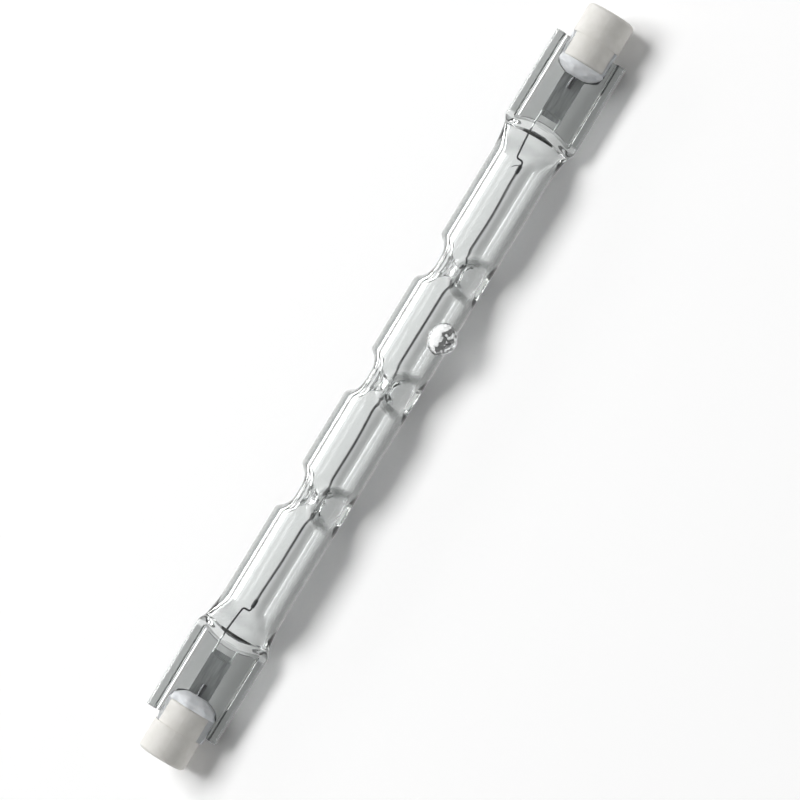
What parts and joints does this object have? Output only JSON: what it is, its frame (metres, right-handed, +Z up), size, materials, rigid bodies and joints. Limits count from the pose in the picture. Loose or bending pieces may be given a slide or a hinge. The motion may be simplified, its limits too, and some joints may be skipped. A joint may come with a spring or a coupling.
{
  "type": "linear halogen bulb",
  "caption": "Slim clear quartz lamp tube with a long coiled filament, pressed-in supports, a tip-off, flat press seals and slotted ceramic end caps with recessed contacts.",
  "frame": {"origin": "on the surface the lamp lies on, under the middle of its outline", "axes": "+X along the lamp's axis, towards the half that carries the tip-off; +Z up from the surface; the flat seals are rolled about X to where the lamp comes to rest on its tube and one rail of each seal"},
  "size_m": [0.1176, 0.012, 0.009],
  "materials": {
    "quartz": "clear, polished",
    "tungsten": "dark grey drawn wire",
    "molybdenum": "dull grey metal",
    "ceramic": "unglazed, smooth matt white",
    "cement": "matt white, slightly rough",
    "contact_metal": "plain dull metal"
  },
  "bodies": {
    "root": {"quartz_envelope": "quartz", "filament": "tungsten", "inner_lead_right": "tungsten", "inner_lead_left": "tungsten", "foil_right": "molybdenum", "foil_left": "molybdenum", "outer_lead_right": "molybdenum", "outer_lead_left": "molybdenum", "cap_right": "ceramic", "cap_left": "ceramic", "cement_right": "cement", "cement_left": "cement", "contact_right": "contact_metal", "contact_left": "contact_metal"}
  },
  "joints": []
}
